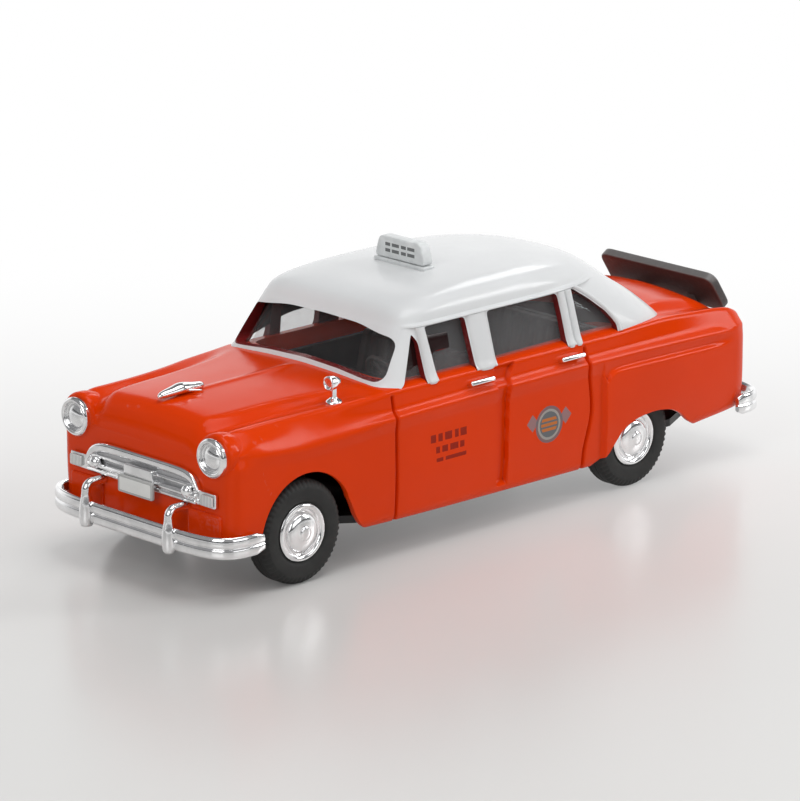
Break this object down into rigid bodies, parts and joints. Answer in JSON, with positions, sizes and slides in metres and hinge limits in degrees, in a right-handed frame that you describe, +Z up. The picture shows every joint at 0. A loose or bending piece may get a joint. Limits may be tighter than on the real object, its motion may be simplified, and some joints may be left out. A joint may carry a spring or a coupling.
{
  "type": "toy taxi",
  "caption": "Die-cast style toy taxi saloon with an orange-red body, white roof, clear glazing, plated trim, roof sign and wheels that roll on steel axles.",
  "frame": {"origin": "on the floor under the middle of the car's overall length and width", "axes": "+X to the front of the car, +Y to its left, +Z up"},
  "size_m": [0.1196, 0.0416, 0.0426],
  "materials": {
    "body_paint": "gloss orange-red enamel over a cast shell",
    "roof_paint": "gloss white enamel",
    "clear_glazing": "clear, slightly grey moulding",
    "base_plastic": "matt dark grey",
    "cabin_plastic": "matt charcoal",
    "seat_plastic": "matt dark grey",
    "plated_trim": "bright plating, lightly softened",
    "clear_lens": "clear white",
    "red_lens": "clear red",
    "plate_plastic": "white",
    "sign_plastic": "white",
    "board_plastic": "satin dark grey",
    "steel": "bright drawn steel",
    "tyre": "matt black"
  },
  "bodies": {
    "car": {"body_shell": "body_paint", "roof_shell": "roof_paint", "glazing": "clear_glazing", "base_plate": "base_plastic", "cabin_tub": "cabin_plastic", "front_seat": "seat_plastic", "rear_seat": "seat_plastic", "dashboard": "cabin_plastic", "steering_wheel": "cabin_plastic", "front_bumper": "plated_trim", "front_bumper_guards": "plated_trim", "rear_bumper": "plated_trim", "grille": "plated_trim", "grille_side_lamps": "clear_lens", "number_plate": "plate_plastic", "headlamp_rim_left": "plated_trim", "headlamp_rim_right": "plated_trim", "headlamp_lens_left": "clear_lens", "headlamp_lens_right": "clear_lens", "tail_lamp_left": "red_lens", "tail_lamp_right": "red_lens", "hood_ornament": "plated_trim", "spot_lamp": "plated_trim", "door_handles": "plated_trim", "roof_sign": "sign_plastic", "boot_board": "board_plastic", "boot_board_brackets": "board_plastic", "base_screws": "steel"},
    "front_wheels": {"front_axle": "steel", "front_wheel_left": "plated_trim", "front_wheel_right": "plated_trim", "front_tyre_left": "tyre", "front_tyre_right": "tyre"},
    "rear_wheels": {"rear_axle": "steel", "rear_wheel_left": "plated_trim", "rear_wheel_right": "plated_trim", "rear_tyre_left": "tyre", "rear_tyre_right": "tyre"}
  },
  "joints": [
    {"name": "front_axle_turn", "type": "hinge", "parent": "car", "child": "front_wheels", "pos_m": [0.041, 0, 0.008], "axis": [0, 1, 0], "continuous": true},
    {"name": "rear_axle_turn", "type": "hinge", "parent": "car", "child": "rear_wheels", "pos_m": [-0.0302, 0, 0.008], "axis": [0, 1, 0], "continuous": true}
  ]
}
